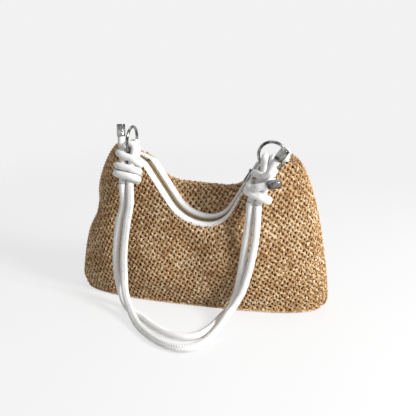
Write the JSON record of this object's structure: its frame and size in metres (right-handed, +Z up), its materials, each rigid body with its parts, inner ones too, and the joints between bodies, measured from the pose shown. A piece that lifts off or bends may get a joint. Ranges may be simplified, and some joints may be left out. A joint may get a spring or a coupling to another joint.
{
  "type": "hobo bag",
  "caption": "Slouchy straw shoulder bag with a dipping zip between two raised corners and a strap of rolled leather cords knotted on rings with metal end caps.",
  "frame": {"origin": "middle of the base's underside", "axes": "+X to the bag's right-hand end as seen from the front, +Y to the back, +Z up"},
  "size_m": [0.3582, 0.2047, 0.2505],
  "materials": {
    "straw": "open woven straw",
    "lining_cloth": "plain cloth",
    "board": "stiffener board",
    "zip_tape": "woven tape",
    "zip_teeth": "nylon coil",
    "white_leather": "smooth",
    "dark_metal": "polished dark plating"
  },
  "bodies": {
    "bag": {"front_panel": "straw", "back_panel": "straw", "base_panel": "straw", "lining": "lining_cloth", "base_board": "board", "zip_tape_front": "zip_tape", "zip_tape_back": "zip_tape", "zip_teeth_front": "zip_teeth", "zip_teeth_back": "zip_teeth", "zip_edge_front": "white_leather", "zip_edge_back": "white_leather", "zip_stop_left": "dark_metal", "zip_stop_right": "dark_metal", "left_tab": "white_leather", "right_tab": "white_leather", "left_tail": "white_leather", "left_cap": "dark_metal"},
    "handle": {"left_loops": "white_leather", "right_loops": "white_leather", "left_knot_upper": "white_leather", "left_knot_lower": "white_leather", "right_knot_upper": "white_leather", "right_knot_lower": "white_leather", "right_tail_upper": "white_leather", "right_tail_lower": "white_leather", "right_cap_upper": "dark_metal", "right_cap_lower": "dark_metal", "front_cord": "white_leather", "back_cord": "white_leather", "right_tab_loop": "white_leather"},
    "left_ring": {"left_ring": "dark_metal"},
    "right_ring": {"right_ring": "dark_metal"},
    "zip_slider": {"zip_slider": "dark_metal"},
    "zip_pull": {"zip_pull": "dark_metal"}
  },
  "joints": [
    {"name": "handle_swing", "type": "hinge", "parent": "bag", "child": "handle", "pos_m": [-0.088, -0.025, 0.231], "axis": [-0.9979, 0.0528, 0.037], "range_deg": [0, 135]},
    {"name": "left_ring_turn", "type": "hinge", "parent": "bag", "child": "left_ring", "pos_m": [-0.088, -0.025, 0.231], "axis": [-0.9979, 0.0528, 0.037], "continuous": true},
    {"name": "right_ring_turn", "type": "hinge", "parent": "handle", "child": "right_ring", "pos_m": [0.101, -0.035, 0.224], "axis": [0.0528, 0.9986, 0], "continuous": true},
    {"name": "zip_slide", "type": "slide", "parent": "bag", "child": "zip_slider", "axis": [0.4695, 0.2831, 0.8363], "range_m": [-0.03, 0]},
    {"name": "zip_pull_hinge", "type": "hinge", "parent": "zip_slider", "child": "zip_pull", "pos_m": [0.06966, -0.00919, 0.1948], "axis": [-0.3308, 0.9346, -0.1307], "range_deg": [0, 100]}
  ]
}
